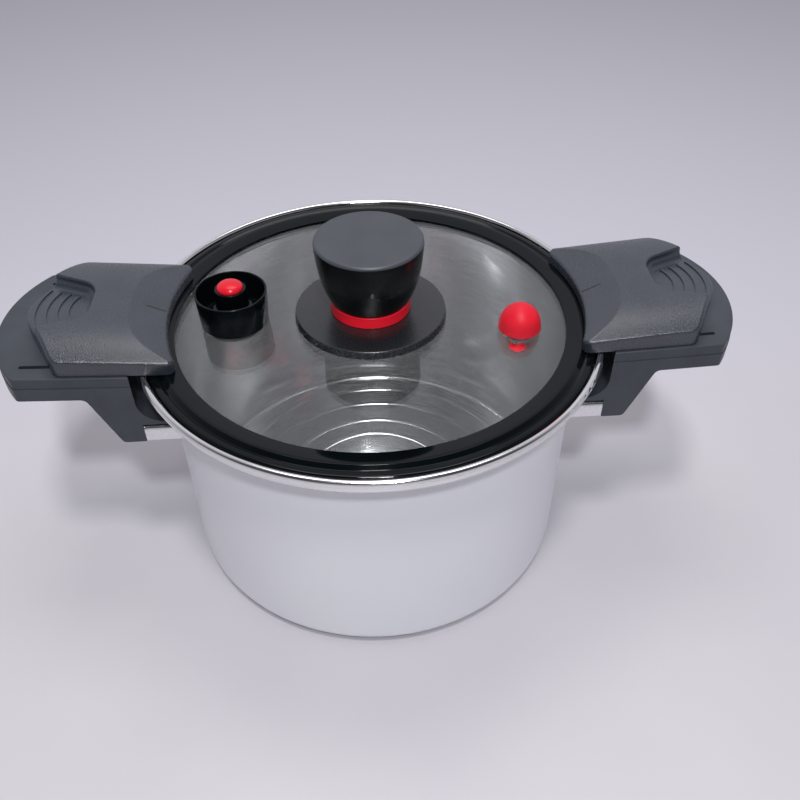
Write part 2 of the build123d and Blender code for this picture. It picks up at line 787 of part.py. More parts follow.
cavity_side = [
    (handle_mouth_radius, deck_height(handle_mouth_radius) - handle_thickness + handle_wall),
    (beyond, under_outer + handle_wall),
    (beyond, deck_height(beyond)),
    (handle_mouth_radius, deck_height(handle_mouth_radius)),
]
cavity = handle_side(cavity_side, [0, 0, 0, 0], handle_half_width - handle_wall)
cavity = cavity & rounded_plan(
    handle_half_width - handle_wall,
    handle_reach - handle_wall,
    handle_end_radius - handle_wall,
    lug_root,
    pot_base,
    far,
)
cavity -= disc(handle_mouth_radius + handle_wall, pot_base, far)
for inset, side in deck_screw_places:
    cavity -= Pos(handle_reach - inset, side, 0) * disc(deck_boss_radius, pot_base, far)
handle_body = body_blank - cavity - lug_pocket

head_recess = handle_wall - screw_recess_floor
deck_screw_tip = handle_thickness - screw_tip_room
deck_screws = Part()
for inset, side in deck_screw_places:
    spot = deck_place * Pos(handle_reach - inset, side, -handle_thickness)
    handle_body -= spot * disc(screw_radius + thread_gap, -1, handle_thickness)
    handle_body -= spot * disc(screw_head_radius + screw_room, -5, head_recess + screw_head_height)
    deck_screws += spot * (
        disc(screw_radius, head_recess + screw_head_height, deck_screw_tip)
        + disc(screw_head_radius, head_recess, head_recess + screw_head_height)
    )

handle_screws = Part()
handle_screw_reach = lug_inner + handle_screw_inset
web_under = bracket_top - bracket_sheet
for side in (-handle_screw_offset, handle_screw_offset):
    spot = Pos(handle_screw_reach, side, 0)
    handle_screws += spot * (
        disc(handle_screw_radius, web_under, bracket_top + handle_screw_bite)
        + disc(handle_screw_head_radius, web_under - handle_screw_head_height, web_under)
    )
    screw_bore = disc(handle_screw_radius + thread_gap, bracket_foot, bracket_top + handle_screw_bite + 0.4)
    handle_body -= spot * screw_bore
both_sides(handle_body, "handle_body")


def tray(shrink, low, high):
    """The bracket, with bent edges, as wide as the handle at the pot and narrower in the lug."""
    half = handle_half_width - bracket_side_inset - shrink
    wide_part = block((0, -half, low), (lug_inner - thread_gap - shrink, half, high))
    half -= bracket_tongue_inset
    tongue_part = block((0, -half, low), (tongue_reach - shrink, half, high))
    parts = [wide_part, tongue_part]
    bends = [part.edges().filter_by(Axis.X).group_by(Axis.Z)[-1] for part in parts]
    return sum((fillet(bend, bracket_bend - shrink) for bend in bends), Part())


bracket = tray(0, bracket_foot, bracket_top) - disc(pot_radius, pot_base, far)
inside = tray(bracket_sheet, pot_base, web_under)
bracket -= inside - disc(pot_radius + bracket_sheet, pot_base, far)
for side in (-handle_screw_offset, handle_screw_offset):
    spot = Pos(handle_screw_reach, side, 0)
    bracket -= spot * disc(handle_screw_radius + screw_room, pot_base, far)
both_sides(bracket, "bracket")

# deck: the upper layer that the locks slide on
deck = deck_place * block((0, -far, -deck_thickness), (beyond, far, 0)) & handle_plan(deck_inset)
deck = fillet(deck.faces().sort_by(Axis.Z)[-1].edges(), deck_edge_radius) - mouth()
slot_end = handle_reach - slot_end_inset
slot_start = handle_mouth_radius - slot_bridge
keeper_start = slot_start + moving_gap
keeper_end = slot_end - moving_gap - lock_travel - keeper_end_room
slot_middle = (slot_start + slot_end) / 2
for side in (-slot_offset, slot_offset):
    slot = Pos(slot_middle, side, -2 * deck_thickness) * extrude(
        SlotOverall(slot_end - slot_start, slot_width), 4 * deck_thickness
    )
    deck -= deck_place * slot
for inset, side in deck_screw_places:
    spot = deck_place * Pos(handle_reach - inset, side, 0)
    deck -= spot * disc(screw_radius + thread_gap, -deck_thickness - 1, 0.2 - screw_tip_room)
both_sides(deck, "handle_deck")

save(deck_screws + mirror(deck_screws, Plane.YZ), "deck_screws")
save(handle_screws + mirror(handle_screws, Plane.YZ), "handle_screws")

# ---------------------------------------------------------------- sliding locks (drawn shut, right)

lock_low = moving_gap
over_lock = 60.0            # cuts from the deck end here, over the lock
lock_nose_radius = ring_radius - nose_cover
lock_root = lock_nose_radius / 2
lock_reach = handle_reach - lock_travel - lock_end_gap


def nose_corners(solid):
    """The two upright edges where a solid's hollow nose meets its sides."""
    return solid.edges().filter_by(Axis.Z).group_by(Axis.X)[0]


def edges_above(solid, height):
    """The edges that lie wholly above a height."""
    return solid.edges().filter_by(lambda edge: edge.bounding_box().min.Z > height)


def lock_plan(shrink, low, high):
    """The lock seen from above, with a swept-back end, parallel sides and the nose's hollow arc."""
    sweep_back = math.radians(lock_end_angle)
    half = lock_half_width - shrink
    peak = lock_reach - shrink + lock_tip_radius * (1 / math.cos(sweep_back) - 1)
    corner = peak - half * math.tan(sweep_back)
    outline = [(lock_root, -half), (corner, -half), (peak, 0), (corner, half), (lock_root, half)]
    corners = [0, lock_corner_radius, lock_tip_radius, lock_corner_radius, 0]
    plan = make_face(FilletPolyline(*outline, radius=corners, close=True))
    solid = Pos(0, 0, low) * extrude(plan, high - low)
    solid -= disc(lock_nose_radius + shrink, -over_lock, over_lock)
    return fillet(nose_corners(solid), nose_corner_radius - shrink)


cap_plan = lock_plan(0, lock_low, over_lock)

shoulder_side = lock_half_width - lock_shoulder_width
crown_line = Spline(
    (-lock_half_width, lock_edge_height),
    (-shoulder_side, lock_shoulder_height),
    (0, lock_crown),
    (shoulder_side, lock_shoulder_height),
    (lock_half_width, lock_edge_height),
)
crown_base = Polyline(
    (lock_half_width, lock_edge_height),
    (lock_half_width, -over_lock),
    (-lock_half_width, -over_lock),
    (-lock_half_width, lock_edge_height),
)
climb = math.radians(lock_top_rise)
crown_start = lock_root - lock_nose_radius
nose_origin = (lock_root, 0, crown_start * math.tan(climb))
nose_frame = Plane(origin=nose_origin, x_dir=(0, 1, 0), z_dir=(1, 0, 0))
crown_face = nose_frame * make_face([crown_line, crown_base])
crown_solid = extrude(crown_face, lock_reach, dir=(math.cos(climb), 0, math.sin(climb)))
cap_blank = cap_plan & crown_solid

facet_slope = facet_drop / facet_reach
facet_foot = lock_crown + facet_reach * math.tan(climb) - facet_drop
facet_outline = [
    (lock_nose_radius - over_lock, facet_foot - over_lock * facet_slope),
    (lock_nose_radius + 2 * facet_reach, facet_foot + 2 * facet_drop),
    (lock_nose_radius - over_lock, facet_foot + 2 * facet_drop),
]
facet_cut = turned(facet_outline)
cap_blank -= facet_cut
cap_blank = fillet(edges_above(cap_blank, lock_low + sheet), lock_edge_radius)
index_middle = Pos(lock_nose_radius + index_start, 0, facet_foot + index_start * facet_slope)
index_middle *= Rot(0, -math.degrees(math.atan(facet_slope)), 0)
cap_blank -= index_middle * block(
    (0, -index_width / 2, -index_depth), (index_length, index_width / 2, over_lock)
)

scoop_start = lock_reach - scoop_length
scoop_far = lock_reach + 20
scoop_far_half = scoop_throat + (scoop_far - scoop_start) * scoop_flare
scoop_outline = [
    (scoop_far, -scoop_far_half),
    (scoop_start, -scoop_throat),
    (scoop_start, scoop_throat),
    (scoop_far, scoop_far_half),
]
scoop_plan = make_face(
    FilletPolyline(*scoop_outline, radius=[0, scoop_end_radius, scoop_end_radius, 0], close=True)
)
scoop = Pos(0, 0, scoop_floor) * extrude(scoop_plan, over_lock)
lock_cap = cap_blank - fillet(scoop.edges().group_by(Axis.Z)[0], scoop_bowl)
floor_edges = lock_cap.edges().filter_by_position(Axis.Z, scoop_floor - 0.1, scoop_floor + 0.1)
end_edges = floor_edges.filter_by_position(Axis.X, lock_reach - scoop_end_length, far)
rim_edges = edges_above(lock_cap, lock_crown + 1)
lock_cap = fillet(rim_edges + end_edges, scoop_rim_radius)

rib_centre = lock_reach - rib_start - rib_bow_radius
scoop_room = Pos(0, 0, lock_low) * extrude(offset(scoop_plan, -rib_inset), over_lock)
for rib_number in range(rib_count):
    rib_outside = rib_bow_radius - rib_number * rib_pitch
    rib = Pos(rib_centre, 0, 0) * disc(
        rib_outside, lock_low, scoop_floor + rib_height, rib_outside - rib_width
    )
    rib -= block((0, -far, -over_lock), (rib_centre, far, over_lock))
    lock_cap += rib & scoop_room

hollow = lock_plan(lock_wall, lock_low - 1, lock_ceiling)
hollow -= Pos(0, 0, -lock_wall) * facet_cut
lock_cap -= hollow

tongue_top = lock_low + sheet
tongue_end = lock_reach - tongue_inset
tongue_half_width = lock_half_width - tongue_side_inset
tongue = block((0, -tongue_half_width, lock_low), (tongue_end, tongue_half_width, tongue_top))
tongue -= disc(lock_nose_radius + lock_wall + tongue_gap, -over_lock, over_lock)
tongue = fillet(nose_corners(tongue), nose_corner_radius - lock_wall)
keeper_wall_inner = slot_offset - sheet / 2
keeper_wall_outer = slot_offset + sheet / 2
for side in (-1, 1):
    middle = side * slot_offset
    slot_sides = (middle - tongue_slot_width / 2, middle + tongue_slot_width / 2)
    tongue -= block(
        (keeper_start - tongue_gap, slot_sides[0], 0), (tongue_end + 1, slot_sides[1], over_lock)
    )

cap_screws = Part()
for offset_from_nose, side in cap_screw_places:
    spot = Pos(lock_nose_radius + offset_from_nose, side, 0)
    sunk = spot * Pos(0, 0, lock_low + cap_screw_head_height / 2)
    bore_radius = screw_radius + thread_gap
    lock_cap += spot * disc(post_radius, tongue_top, lock_ceiling + post_root)
    lock_cap -= spot * disc(bore_radius, lock_low, lock_ceiling + cap_screw_bite + 0.3)
    tongue -= spot * disc(bore_radius, 0, over_lock)
    tongue -= sunk * Cone(cap_screw_head_radius + thread_gap, bore_radius, cap_screw_head_height)
    cap_screws += sunk * Cone(cap_screw_head_radius, screw_radius, cap_screw_head_height)
    cap_screws += spot * disc(screw_radius, lock_low + cap_screw_inset, lock_ceiling + cap_screw_bite)

foot_top = -deck_thickness - moving_gap
keepers = Part()
keeper_screws = Part()
for side in (-1, 1):
    walls = sorted((side * keeper_wall_inner, side * keeper_wall_outer))
    foot_edge = side * (keeper_wall_outer - keeper_foot)
    foot_sides = sorted((side * keeper_wall_outer, foot_edge))
    flange_sides = sorted((side * keeper_wall_outer, side * (keeper_wall_outer - keeper_flange)))
    leg = block((keeper_start, walls[0], foot_top - sheet), (keeper_end, walls[1], tongue_top + sheet))
    foot = block((keeper_start, foot_sides[0], foot_top - sheet), (keeper_end, foot_sides[1], foot_top))
    flange = block(
        (keeper_start, flange_sides[0], tongue_top), (tongue_end, flange_sides[1], tongue_top + sheet)
    )
    keeper = leg + foot + flange
    screw_side = side * (keeper_wall_outer - keeper_flange + keeper_screw_line)
    for inset in keeper_screw_insets:
        spot = Pos(tongue_end - inset, screw_side, 0)
        hole = spot * disc(keeper_screw_radius + thread_gap, 0, over_lock)
        keeper -= hole
        tongue -= hole
        head_foot = tongue_top + sheet
        keeper_screws += spot * disc(keeper_screw_radius, lock_low + 0.1, head_foot)
        keeper_screws += spot * disc(keeper_screw_head_radius, head_foot, head_foot + keeper_head_height)
    keepers += keeper

lock_pieces = {
    "lock_cap": lock_cap,
    "lock_tongue": tongue,
    "lock_keepers": keepers,
    "lock_cap_screws": cap_screws,
    "lock_keeper_screws": keeper_screws,
}
for piece_name, piece in lock_pieces.items():
    save(deck_place * Pos(right_lock_open, 0, 0) * piece, f"{piece_name}_right")
    save(mirror(deck_place * piece, Plane.YZ), f"{piece_name}_left")
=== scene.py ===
"""Pressure canner: the finished look of the pot, its glass lid, the knob and the sliding locks."""
import bpy
import math
from mathutils import Matrix, Vector


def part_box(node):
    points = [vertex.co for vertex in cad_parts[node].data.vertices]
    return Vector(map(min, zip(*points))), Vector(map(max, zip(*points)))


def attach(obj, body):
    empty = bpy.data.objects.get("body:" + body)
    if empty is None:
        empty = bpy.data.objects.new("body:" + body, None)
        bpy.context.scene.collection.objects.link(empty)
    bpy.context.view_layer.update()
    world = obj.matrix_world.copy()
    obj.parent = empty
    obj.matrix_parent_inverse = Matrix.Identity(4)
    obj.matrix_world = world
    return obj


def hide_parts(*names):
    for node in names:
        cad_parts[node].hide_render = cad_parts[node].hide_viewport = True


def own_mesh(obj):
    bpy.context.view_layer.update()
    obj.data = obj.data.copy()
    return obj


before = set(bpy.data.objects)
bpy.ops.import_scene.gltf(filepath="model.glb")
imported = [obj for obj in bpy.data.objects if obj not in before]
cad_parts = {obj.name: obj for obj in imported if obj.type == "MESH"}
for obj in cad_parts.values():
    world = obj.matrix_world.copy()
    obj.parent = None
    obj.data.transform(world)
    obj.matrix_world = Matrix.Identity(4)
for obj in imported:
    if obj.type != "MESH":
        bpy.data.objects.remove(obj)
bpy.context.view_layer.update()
scene = bpy.context.scene
mm = 0.001

# ---------------------------------------------------------------- pot
# The pot is deep drawn from steel sheet, with its edge rolled over into a bead. The outside of
# the wall has a baked white coating, and the inside, the neck and the bead are bare brushed
# steel. Its coating stops just under the shelf.

pot_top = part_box("pot_body")[1].z
bare_neck = 13.0 * mm
coat_top = pot_top - bare_neck
coat_fade = 0.4 * mm
coat_white = (0.78, 0.78, 0.81)
coat_shade = (0.75, 0.75, 0.79)
bare_steel = (0.74, 0.73, 0.74)
bright_steel = (0.88, 0.87, 0.87)
coat_gloss = 0.38
smoothest_steel, roughest_steel = 0.09, 0.16
turning_fineness, peel_grain, cloud_grain = 1100.0, 700.0, 9.0


def new_finish(name, colour, roughness, metallic=0.0, sheen=0.5):
    """A finish with one shader; the sheen is how strongly it reflects when seen square on."""
    finish = bpy.data.materials.new(name)
    finish.use_nodes = True
    tree = finish.node_tree
    shader = tree.nodes["Principled BSDF"]
    shader.inputs["Base Color"].default_value = (*colour, 1)
    shader.inputs["Roughness"].default_value = roughness
    shader.inputs["Metallic"].default_value = metallic
    shader.inputs["Specular IOR Level"].default_value = sheen
    return finish, tree, shader


def add(tree, kind, settings=None, **inputs):
    """Add one node; a value for an input is a number, a colour or another node's output."""
    node = tree.nodes.new(kind)
    for key, value in (settings or {}).items():
        setattr(node, key, value)
    for key, value in inputs.items():
        socket = node.inputs[int(key[1:])] if key[0] == "_" else node.inputs[key]
        if isinstance(value, bpy.types.NodeSocket):
            tree.links.new(value, socket)
        else:
            socket.default_value = value
    return node


def blend_colours(tree, factor, first, second):
    """A colour that goes from the first to the second as the factor goes from 0 to 1."""
    node = add(tree, "ShaderNodeMix", {"data_type": "RGBA"}, _0=factor)
    for index, value in ((6, first), (7, second)):
        if isinstance(value, bpy.types.NodeSocket):
            tree.links.new(value, node.inputs[index])
        else:
            node.inputs[index].default_value = (*value, 1)
    return node.outputs[2]


def ramp(tree, value, low, high, low_out=0.0, high_out=1.0):
    """Map a range of a value to another range, held at its ends."""
    ends = {"_1": low, "_2": high, "_3": low_out, "_4": high_out}
    return add(tree, "ShaderNodeMapRange", None, _0=value, **ends).outputs[0]


def sums(tree, operation, first, second=0.0):
    """One step of arithmetic on one or two values."""
    return add(tree, "ShaderNodeMath", {"operation": operation}, _0=first, _1=second).outputs[0]


def speckle(tree, scale, detail=2.0, stretch=(1, 1, 1)):
    """A cloudy pattern of a given number of spots to the metre, stretched if wanted."""
    place = add(tree, "ShaderNodeTexCoord").outputs["Object"]
    sized = add(tree, "ShaderNodeMapping", None, Vector=place, Scale=stretch)
    settings = {"Vector": sized.outputs[0], "Scale": scale, "Detail": detail}
    return add(tree, "ShaderNodeTexNoise", None, **settings).outputs[0]


def along(tree, operation, *vectors):
    """A step of vector arithmetic on one or two vectors."""
    values = {f"_{index}": vector for index, vector in enumerate(vectors)}
    return add(tree, "ShaderNodeVectorMath", {"operation": operation}, **values).outputs


def turned_lines(tree, fineness, streaks=5.0):
    """Lines round the pot's axis, as left by turning or spinning, with a number to the metre."""
    place = add(tree, "ShaderNodeTexCoord").outputs["Object"]
    axes = add(tree, "ShaderNodeSeparateXYZ", None, _0=place).outputs
    flat = along(tree, "MULTIPLY", place, (1, 1, 0))[0]
    radius = along(tree, "LENGTH", flat)["Value"]
    round_way = sums(tree, "MULTIPLY", sums(tree, "ARCTAN2", axes[1], axes[0]), streaks / fineness)
    wrapped = add(tree, "ShaderNodeCombineXYZ", None, _0=radius, _1=round_way, _2=axes[2])
    settings = {"Vector": wrapped.outputs[0], "Scale": fineness, "Detail": 3.0}
    return add(tree, "ShaderNodeTexNoise", None, **settings).outputs[0]


def rough_up(tree, shader, height, depth, strength=1.0):
    """Raise the surface by a height pattern, to a depth in metres."""
    bump = add(tree, "ShaderNodeBump", None, Height=height, Distance=depth, Strength=strength)
    tree.links.new(bump.outputs[0], shader.inputs["Normal"])


def dress(finish, *nodes):
    """Give CAD nodes a finish."""
    for name in nodes:
        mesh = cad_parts[name].data
        mesh.materials.clear()
        mesh.materials.append(finish)


pot_finish, tree, shader = new_finish("pot_coat_and_steel", coat_white, 0.4)
place = add(tree, "ShaderNodeTexCoord").outputs["Object"]
axes = add(tree, "ShaderNodeSeparateXYZ", None, _0=place).outputs
facing = add(tree, "ShaderNodeNewGeometry").outputs["True Normal"]
outward = along(tree, "NORMALIZE", along(tree, "MULTIPLY", place, (1, 1, 0))[0])[0]
faces_out = ramp(tree, along(tree, "DOT_PRODUCT", outward, facing)["Value"], 0.1, 0.2)
facing_axes = add(tree, "ShaderNodeSeparateXYZ", None, _0=facing).outputs
faces_down = ramp(tree, facing_axes[2], -0.5, -0.6)
below_shelf = ramp(tree, axes[2], coat_top, coat_top - coat_fade)
coated = sums(tree, "MULTIPLY", sums(tree, "MAXIMUM", faces_out, faces_down), below_shelf)
cloud = speckle(tree, cloud_grain)
coat = blend_colours(tree, ramp(tree, cloud, 0.35, 0.65), coat_white, coat_shade)
turning = turned_lines(tree, turning_fineness)
steel = blend_colours(tree, ramp(tree, turning, 0.3, 0.7), bare_steel, bright_steel)
tree.links.new(blend_colours(tree, coated, steel, coat), shader.inputs["Base Color"])
bare = ramp(tree, coated, 0, 1, 1.0, 0.0)
tree.links.new(bare, shader.inputs["Metallic"])
steel_gloss = ramp(tree, turning, 0.3, 0.7, smoothest_steel, roughest_steel)
gloss = add(tree, "ShaderNodeMix", None, _0=coated, _2=steel_gloss, _3=coat_gloss).outputs[0]
tree.links.new(gloss, shader.inputs["Roughness"])
peel = sums(tree, "MULTIPLY", speckle(tree, peel_grain), coated)
lines = sums(tree, "MULTIPLY", turning, sums(tree, "MULTIPLY", bare, 0.06))
rough_up(tree, shader, sums(tree, "ADD", peel, lines), 0.01 * mm, 0.5)
dress(pot_finish, "pot_body")

# ---------------------------------------------------------------- rings in the pot's floor
# The steel floor of the pot is pressed with four low rings, which stiffen it against bulging on
# the stove. They are part of the same sheet, so they have its finish.

pot_wall = 1.4 * mm
floor_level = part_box("base_disc")[1].z + pot_wall
ring_half, ring_rise, ring_sunk, ring_crown = 1.8 * mm, 0.07 * mm, 0.1 * mm, 1.2 * mm
ring_shoulder = ring_half * 0.9
ring_radii = (52 * mm, 66 * mm, 84 * mm, 100 * mm)
soft_edge = math.radians(35)


def rounded(outline, radii, steps=6):
    """A closed outline of (radius, height) points with each corner rounded to its radius."""
    points = []
    for index, (corner, radius) in enumerate(zip(outline, radii)):
        corner = Vector(corner)
        if radius == 0:
            points.append(corner)
            continue
        back = (Vector(outline[index - 1]) - corner).normalized()
        onward = (Vector(outline[(index + 1) % len(outline)]) - corner).normalized()
        half_angle = back.angle(onward) / 2
        centre = corner + (back + onward).normalized() * (radius / math.sin(half_angle))
        first = corner + back * (radius / math.tan(half_angle)) - centre
        sweep = math.pi - 2 * half_angle
        if back.x * onward.y - back.y * onward.x > 0:
            sweep = -sweep
        for step in range(steps + 1):
            turn = sweep * step / steps
            spoke = (
                first.x * math.cos(turn) - first.y * math.sin(turn),
                first.x * math.sin(turn) + first.y * math.cos(turn),
            )
            points.append(centre + Vector(spoke))
    return [tuple(point) for point in points]


def spun(name, outlines, finish, body, slot, stands_for=(), axis=(0, 0), facets=144):
    """A closed piece turned about a vertical axis from closed (radius, height) outlines."""
    corners, faces = [], []
    for outline in outlines:
        start = len(corners)
        count = len(outline)
        pairs = zip([outline[-1], *outline], outline)
        area = sum(before[0] * point[1] - point[0] * before[1] for before, point in pairs)
        if area > 0:
            outline = outline[::-1]
        for facet in range(facets):
            angle = 2 * math.pi * facet / facets
            for radius, height in outline:
                corners.append(
                    (axis[0] + radius * math.cos(angle), axis[1] + radius * math.sin(angle), height)
                )
        for facet in range(facets):
            here, there = start + facet * count, start + (facet + 1) % facets * count
            for step in range(count):
                after = (step + 1) % count
                faces.append((here + step, here + after, there + after, there + step))
    mesh = bpy.data.meshes.new(name)
    mesh.from_pydata(corners, [], faces)
    mesh.materials.append(finish)
    mesh.shade_smooth()
    mesh.set_sharp_from_angle(angle=soft_edge)
    piece = bpy.data.objects.new(name, mesh)
    scene.collection.objects.link(piece)
    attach(piece, body)
    if stands_for:
        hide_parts(*stands_for)
    return piece


ring_sections = [
    rounded(
        [
            (radius - ring_half, floor_level - ring_sunk),
            (radius + ring_half, floor_level - ring_sunk),
            (radius + ring_shoulder, floor_level),
            (radius, floor_level + ring_rise),
            (radius - ring_shoulder, floor_level),
        ],
        [0, 0, 0, ring_crown, 0],
    )
    for radius in ring_radii
]
spun("floor_rings", ring_sections, pot_finish, "pot", "base_steel")

# ---------------------------------------------------------------- base disc
# A thick steel disc bonded under the pot, which spreads the heat. Rings are turned into its
# underside, and it keeps its brushed finish.

disc_steel = (0.55, 0.55, 0.56)

def brushed_steel(name, colour, roughness, grain=(1, 1, 1), scale=900.0, depth=0.004 * mm):
    """Bare metal with fine lines drawn along the stretched axis."""
    finish, tree, shader = new_finish(name, colour, roughness, 1.0)
    lines = speckle(tree, scale, 3.0, grain)
    darker = tuple(part * 0.86 for part in colour)
    shade = blend_colours(tree, ramp(tree, lines, 0.3, 0.7), darker, colour)
    tree.links.new(shade, shader.inputs["Base Color"])
    spread = ramp(tree, lines, 0.3, 0.7, roughness * 0.8, roughness * 1.25)
    tree.links.new(spread, shader.inputs["Roughness"])
    rough_up(tree, shader, lines, depth)
    return finish


dress(brushed_steel("base_disc_steel", disc_steel, 0.3, grain=(0.1, 1, 1)), "base_disc")

# ---------------------------------------------------------------- brackets
# A bracket is a shallow channel of polished steel sheet, spot welded to the pot's wall. The
# handle's lug is slipped over it and held by two screws from below.

bracket_finish = brushed_steel("bracket_steel", (0.82, 0.81, 0.83), 0.16, grain=(1, 0.1, 1))
dress(bracket_finish, "bracket_left", "bracket_right")

# ---------------------------------------------------------------- handle and deck screws
# Plain steel screws with a zinc plating. Two hold each handle to its bracket, and others hold
# the deck down on the handle.

zinc = brushed_steel("zinc_plate", (0.62, 0.62, 0.64), 0.3)
dress(zinc, "handle_screws", "deck_screws")

# ---------------------------------------------------------------- handles
# Each handle is moulded in two parts from glass-filled black nylon: a hollow body with the lug,
# and a flat deck screwed on from below. Both have a fine spark-eroded texture.


def moulded(name, colour, roughness, grain=2600.0, depth=0.035 * mm, mottle=0.16, sheen=0.3):
    """A moulded plastic with a fine grain, slightly uneven in colour and gloss."""
    finish, tree, shader = new_finish(name, colour, roughness, 0.0, sheen)
    patches = speckle(tree, 60.0, 4.0)
    darker = tuple(part * (1 - mottle) for part in colour)
    lighter = tuple(part * (1 + mottle) for part in colour)
    shade = blend_colours(tree, ramp(tree, patches, 0.3, 0.7), darker, lighter)
    tree.links.new(shade, shader.inputs["Base Color"])
    grains = speckle(tree, grain, 2.0)
    spread = ramp(tree, grains, 0.3, 0.7, roughness * 0.9, roughness * 1.1)
    tree.links.new(spread, shader.inputs["Roughness"])
    rough_up(tree, shader, grains, depth)
    return finish


handle_grey = (0.036, 0.042, 0.052)
handle_nylon = moulded("handle_nylon", handle_grey, 0.42, grain=2200.0, depth=0.06 * mm, sheen=0.42)
for side in ("left", "right"):
    dress(handle_nylon, f"handle_body_{side}", f"handle_deck_{side}")

# ---------------------------------------------------------------- sliding locks
# A lock is a moulded cap over a steel tongue. It slides on the deck, held by two folded
# keepers that reach down through slots, and its nose holds the lid's ring down.

lock_grey = (0.026, 0.032, 0.043)
lock_look = {"grain": 1900.0, "depth": 0.13 * mm, "mottle": 0.12, "sheen": 0.8}
lock_nylon = moulded("lock_nylon", lock_grey, 0.26, **lock_look)
stamped = brushed_steel("stamped_steel", (0.62, 0.62, 0.64), 0.3, grain=(0.1, 1, 1))
for side in ("left", "right"):
    dress(lock_nylon, f"lock_cap_{side}")
    dress(stamped, f"lock_tongue_{side}", f"lock_keepers_{side}")
    dress(zinc, f"lock_cap_screws_{side}", f"lock_keeper_screws_{side}")

# ---------------------------------------------------------------- lid glass
# A shallow dome of clear toughened glass, 4 mm thick, pressed and drilled for the knob, the
# valve and the plug. It lets nearly all light through to the inside of the pot.

shade_of_glass = (0.93, 0.95, 0.95, 1)
glass_finish, tree, shader = new_finish("toughened_glass", (0.96, 0.98, 0.98), 0.0)
shader.inputs["Transmission Weight"].default_value = 1.0
shader.inputs["IOR"].default_value = 1.5
surface = tree.nodes["Material Output"].inputs["Surface"]
shadow = add(tree, "ShaderNodeLightPath").outputs["Is Shadow Ray"]
clear = add(tree, "ShaderNodeBsdfTransparent", None, Color=shade_of_glass).outputs[0]
passing = add(tree, "ShaderNodeMixShader", None, _0=shadow, _1=shader.outputs[0], _2=clear)
tree.links.new(passing.outputs[0], surface)
dress(glass_finish, "lid_glass")

# ---------------------------------------------------------------- lid ring
# A ring of gloss black phenolic moulding grips the glass's edge. Its outer bead rests inside
# the pot's rim, a ridge stands over the glass's edge, and a thin lip laps over the glass.

phenolic_black = (0.0015, 0.0028, 0.0035)
gloss_look = {"grain": 300.0, "depth": 0.0004 * mm, "sheen": 0.21}
gloss_black = moulded("gloss_black", phenolic_black, 0.07, **gloss_look)
ring_low, ring_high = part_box("lid_ring")
glass_low, glass_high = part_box("lid_glass")
seal_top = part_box("lid_seal")[1].z
ring_radius, glass_radius = ring_high.x, glass_high.x
glass_thickness = 4.0 * mm
glass_edge = glass_low.z + glass_thickness

bead_top = pot_top - 1.2 * mm
bead_foot = bead_top - 0.9 * mm
bead_width, bead_base = 3.6 * mm, 5.2 * mm
ring_root = glass_radius + 3.1 * mm
ridge_top = glass_edge + 2.4 * mm
ridge_outside, ridge_inside = ring_root + 2.0 * mm, ring_root + 0.6 * mm
lip = glass_radius - 4.1 * mm
lip_top, lip_foot = glass_edge + 1.1 * mm, glass_edge - 0.4 * mm
glass_grip = 0.1 * mm
groove_top = glass_edge - 0.6 * mm
ledge = glass_radius - 2.1 * mm

ring_outline = [
    (ring_radius, seal_top),
    (ring_radius, bead_top),
    (ring_radius - bead_width, bead_top),
    (ring_radius - bead_base, bead_foot),
    (ridge_outside, ridge_top),
    (ridge_inside, ridge_top),
    (lip, lip_top),
    (lip, lip_foot),
    (glass_radius - glass_grip, groove_top),
    (glass_radius - glass_grip, glass_low.z + glass_grip),
    (ledge, glass_low.z - glass_grip),
    (ledge, ring_low.z),
    (ring_root, ring_low.z),
    (ring_root, seal_top),
]
bead_roundings = [1.6 * mm, 1.2 * mm, 0.6 * mm]
ridge_and_lip_roundings = [0.5 * mm, 0.5 * mm, 0.4 * mm]
foot_roundings = [0.4 * mm, 0.6 * mm]
ring_roundings = [0, *bead_roundings, *ridge_and_lip_roundings, 0, 0, 0, 0, *foot_roundings, 0]
ring_section = rounded(ring_outline, ring_roundings, steps=8)
ring_part = ("lid", "ring_plastic", ["lid_ring"])
spun("lid_ring_moulding", [ring_section], gloss_black, *ring_part, facets=240)

# ---------------------------------------------------------------- seals
# The lid's seal is a ring of pale silicone pushed up under the lid ring. The small gaskets under
# the knob, the valve and the plug are dark silicone.

rubber_look = {"grain": 900.0, "depth": 0.01 * mm}
dress(moulded("seal_silicone", (0.60, 0.60, 0.58), 0.45, **rubber_look), "lid_seal")
smoked_rubber = moulded("smoked_silicone", (0.06, 0.06, 0.06), 0.4, **rubber_look)
dress(smoked_rubber, "knob_gasket", "knob_seal_washer", "valve_gaskets", "plug_gaskets")

# ---------------------------------------------------------------- knob base
# A wide satin black disc moulded with an upright edge and a spigot, which carries the red band
# and the grip. One screw up through the glass holds the whole knob.

band_low, band_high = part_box("knob_band")
band_radius = band_high.x
base_low, base_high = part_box("knob_base")
base_radius = base_high.x
spigot_radius = band_radius - 6.0 * mm
insert_low, insert_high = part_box("knob_insert")
insert_wall = 1.2 * mm
screw_hole = insert_high.x - insert_wall
edge_lean, edge_drop, band_ledge = 0.8 * mm, 0.6 * mm, 0.5 * mm
satin_look = {"grain": 900.0, "depth": 0.0005 * mm, "sheen": 0.7}
base_satin = moulded("knob_base_satin", (0.010, 0.011, 0.013), 0.27, **satin_look)
base_section = rounded(
    [
        (screw_hole, base_low.z),
        (base_radius, base_low.z),
        (base_radius - edge_lean, band_low.z - edge_drop),
        (band_radius + band_ledge, band_low.z),
        (spigot_radius, band_low.z),
        (spigot_radius, band_high.z),
        (screw_hole, band_high.z),
    ],
    [0, 0.4 * mm, 0.7 * mm, 3.0 * mm, 0, 0.4 * mm, 0],
)
spun("knob_base_moulding", [base_section], base_satin, "lid", "knob_plastic", ["knob_base"])

